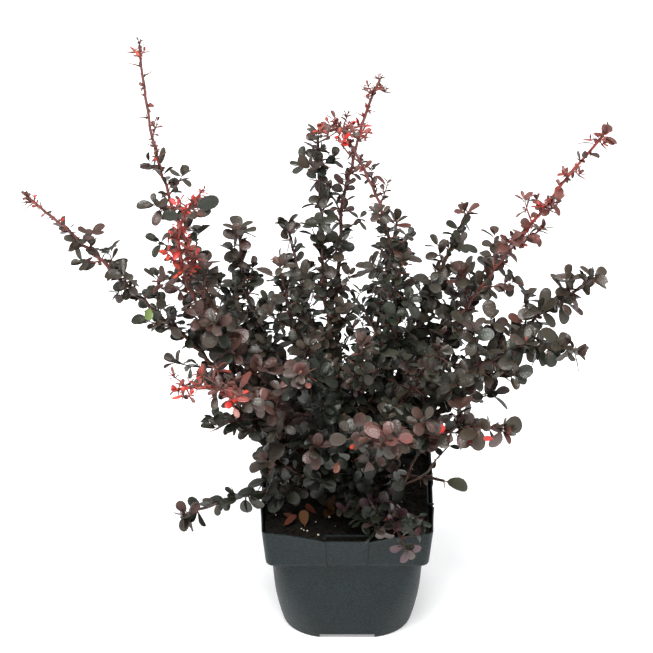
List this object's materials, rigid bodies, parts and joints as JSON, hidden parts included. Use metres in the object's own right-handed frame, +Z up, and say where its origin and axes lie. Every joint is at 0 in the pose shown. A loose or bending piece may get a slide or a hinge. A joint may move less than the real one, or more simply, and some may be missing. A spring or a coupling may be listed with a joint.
{
  "type": "japanese barberry in a nursery pot",
  "caption": "Young thorny shrub with arching shoots and dark spoon-shaped leaves, growing in a square moulded nursery pot filled with compost.",
  "frame": {"origin": "middle of the pot's flat underside, on the surface that the pot stands on", "axes": "+Z up; -Y is the side of the pot that the picture looks at, +X to the right of that view"},
  "size_m": [0.5727, 0.3743, 0.6101],
  "materials": {
    "pot": "dark grey-green moulded polypropylene, matte",
    "compost": "black peat compost with white perlite, crumbly",
    "bark": "thin red-brown bark",
    "foliage": "dark purple-brown leaves with a soft greyish sheen"
  },
  "bodies": {
    "root": {"pot": "pot", "compost": "compost", "stool": "bark", "bough_back_left": "bark", "bough_back_middle_left": "bark", "bough_back_middle_right": "bark", "bough_back_right": "bark", "bough_centre_cross": "bark", "bough_centre_left": "bark", "bough_centre_tall": "bark", "bough_dome_front": "bark", "bough_dome_high": "bark", "bough_dome_left": "bark", "bough_dome_right": "bark", "bough_far_left": "bark", "bough_far_right": "bark", "bough_front_left": "bark", "bough_front_middle": "bark", "bough_front_right_red": "bark", "bough_inner_left": "bark", "bough_inner_right": "bark", "bough_low_left": "bark", "bough_low_left_red": "bark", "bough_low_right_red": "bark", "bough_mid_left": "bark", "bough_mid_right": "bark", "bough_red_left": "bark", "bough_right_long": "bark", "bough_tall_left": "bark", "foliage_back_left": "foliage", "foliage_back_middle_left": "foliage", "foliage_back_middle_right": "foliage", "foliage_back_right": "foliage", "foliage_centre_cross": "foliage", "foliage_centre_left": "foliage", "foliage_centre_tall": "foliage", "foliage_dome_front": "foliage", "foliage_dome_high": "foliage", "foliage_dome_left": "foliage", "foliage_dome_right": "foliage", "foliage_far_left": "foliage", "foliage_far_right": "foliage", "foliage_foot_left": "foliage", "foliage_front_bottom": "foliage", "foliage_front_left": "foliage", "foliage_front_middle": "foliage", "foliage_front_right_red": "foliage", "foliage_inner_left": "foliage", "foliage_inner_right": "foliage", "foliage_low_left": "foliage", "foliage_low_left_red": "foliage", "foliage_low_right": "foliage", "foliage_low_right_red": "foliage", "foliage_mid_left": "foliage", "foliage_mid_right": "foliage", "foliage_red_left": "foliage", "foliage_right_long": "foliage", "foliage_runner_left": "foliage", "foliage_stray_right": "foliage", "foliage_tall_left": "foliage"}
  },
  "joints": []
}
